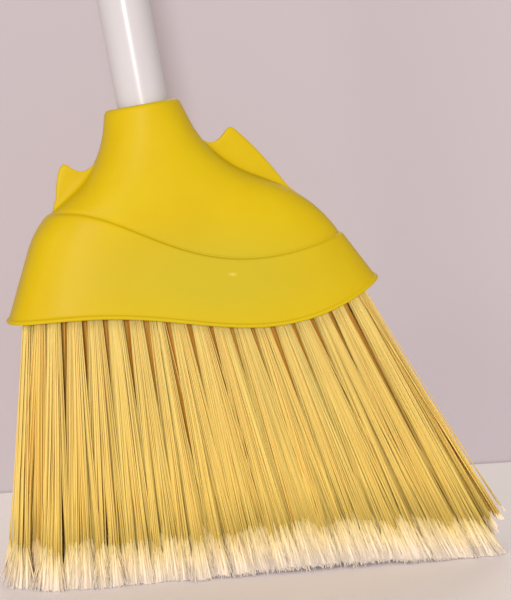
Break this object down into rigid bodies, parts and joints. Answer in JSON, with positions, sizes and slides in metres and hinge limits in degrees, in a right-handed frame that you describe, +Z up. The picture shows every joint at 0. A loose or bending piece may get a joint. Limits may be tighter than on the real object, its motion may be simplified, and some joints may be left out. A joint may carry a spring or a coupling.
{
  "type": "angle broom",
  "caption": "Angle broom for sweeping floors and corners: flared, slant-trimmed bristle head under a soft moulded cap, on a long screwed-in coated tube handle with a hang hole.",
  "frame": {"origin": "middle of the sweeping edge, on the floor that the bristle tips meet", "axes": "+Z up, +X along the sweeping edge to the long toe side, -Y the front; the handle leans to -X"},
  "size_m": [0.4317, 0.0557, 1.4345],
  "materials": {
    "cap_yellow": "satin",
    "block_plastic": "plain",
    "bristle_gold": "fine strands",
    "wire_steel": "bright",
    "tube_steel": "bare",
    "handle_white": "glossy",
    "tip_plastic": "plain",
    "hang_cap_plastic": "satin"
  },
  "bodies": {
    "head": {"cap": "cap_yellow", "bristle_block": "block_plastic", "bristle_tufts_01": "bristle_gold", "bristle_tufts_02": "bristle_gold", "bristle_tufts_03": "bristle_gold", "bristle_tufts_04": "bristle_gold", "bristle_tufts_05": "bristle_gold", "bristle_tufts_06": "bristle_gold", "bristle_tufts_07": "bristle_gold", "bristle_tufts_08": "bristle_gold", "bristle_tufts_09": "bristle_gold", "bristle_tufts_10": "bristle_gold", "bristle_tufts_11": "bristle_gold", "bristle_tufts_12": "bristle_gold", "bristle_tufts_13": "bristle_gold", "bristle_tufts_14": "bristle_gold", "bristle_tufts_15": "bristle_gold", "bristle_tufts_16": "bristle_gold", "bristle_tufts_17": "bristle_gold", "bristle_tufts_18": "bristle_gold", "tuft_anchors": "wire_steel", "cap_staples": "wire_steel"},
    "handle": {"handle_tube": "tube_steel", "handle_coat": "handle_white"},
    "handle_fittings": {"threaded_tip": "tip_plastic", "hang_cap": "hang_cap_plastic"}
  },
  "joints": [
    {"name": "handle_lift", "type": "slide", "parent": "head", "child": "handle", "axis": [-0.184, 0, 0.9829], "range_m": [0, 0.0254]},
    {"name": "handle_turn", "type": "hinge", "parent": "handle", "child": "handle_fittings", "pos_m": [-0.062, 0, 0.237], "axis": [-0.184, 0, 0.9829], "range_deg": [0, 1801]}
  ],
  "couplings": [
    {"joint": "handle_turn", "follows": "handle_lift", "rad_per_m": 1236.8}
  ]
}
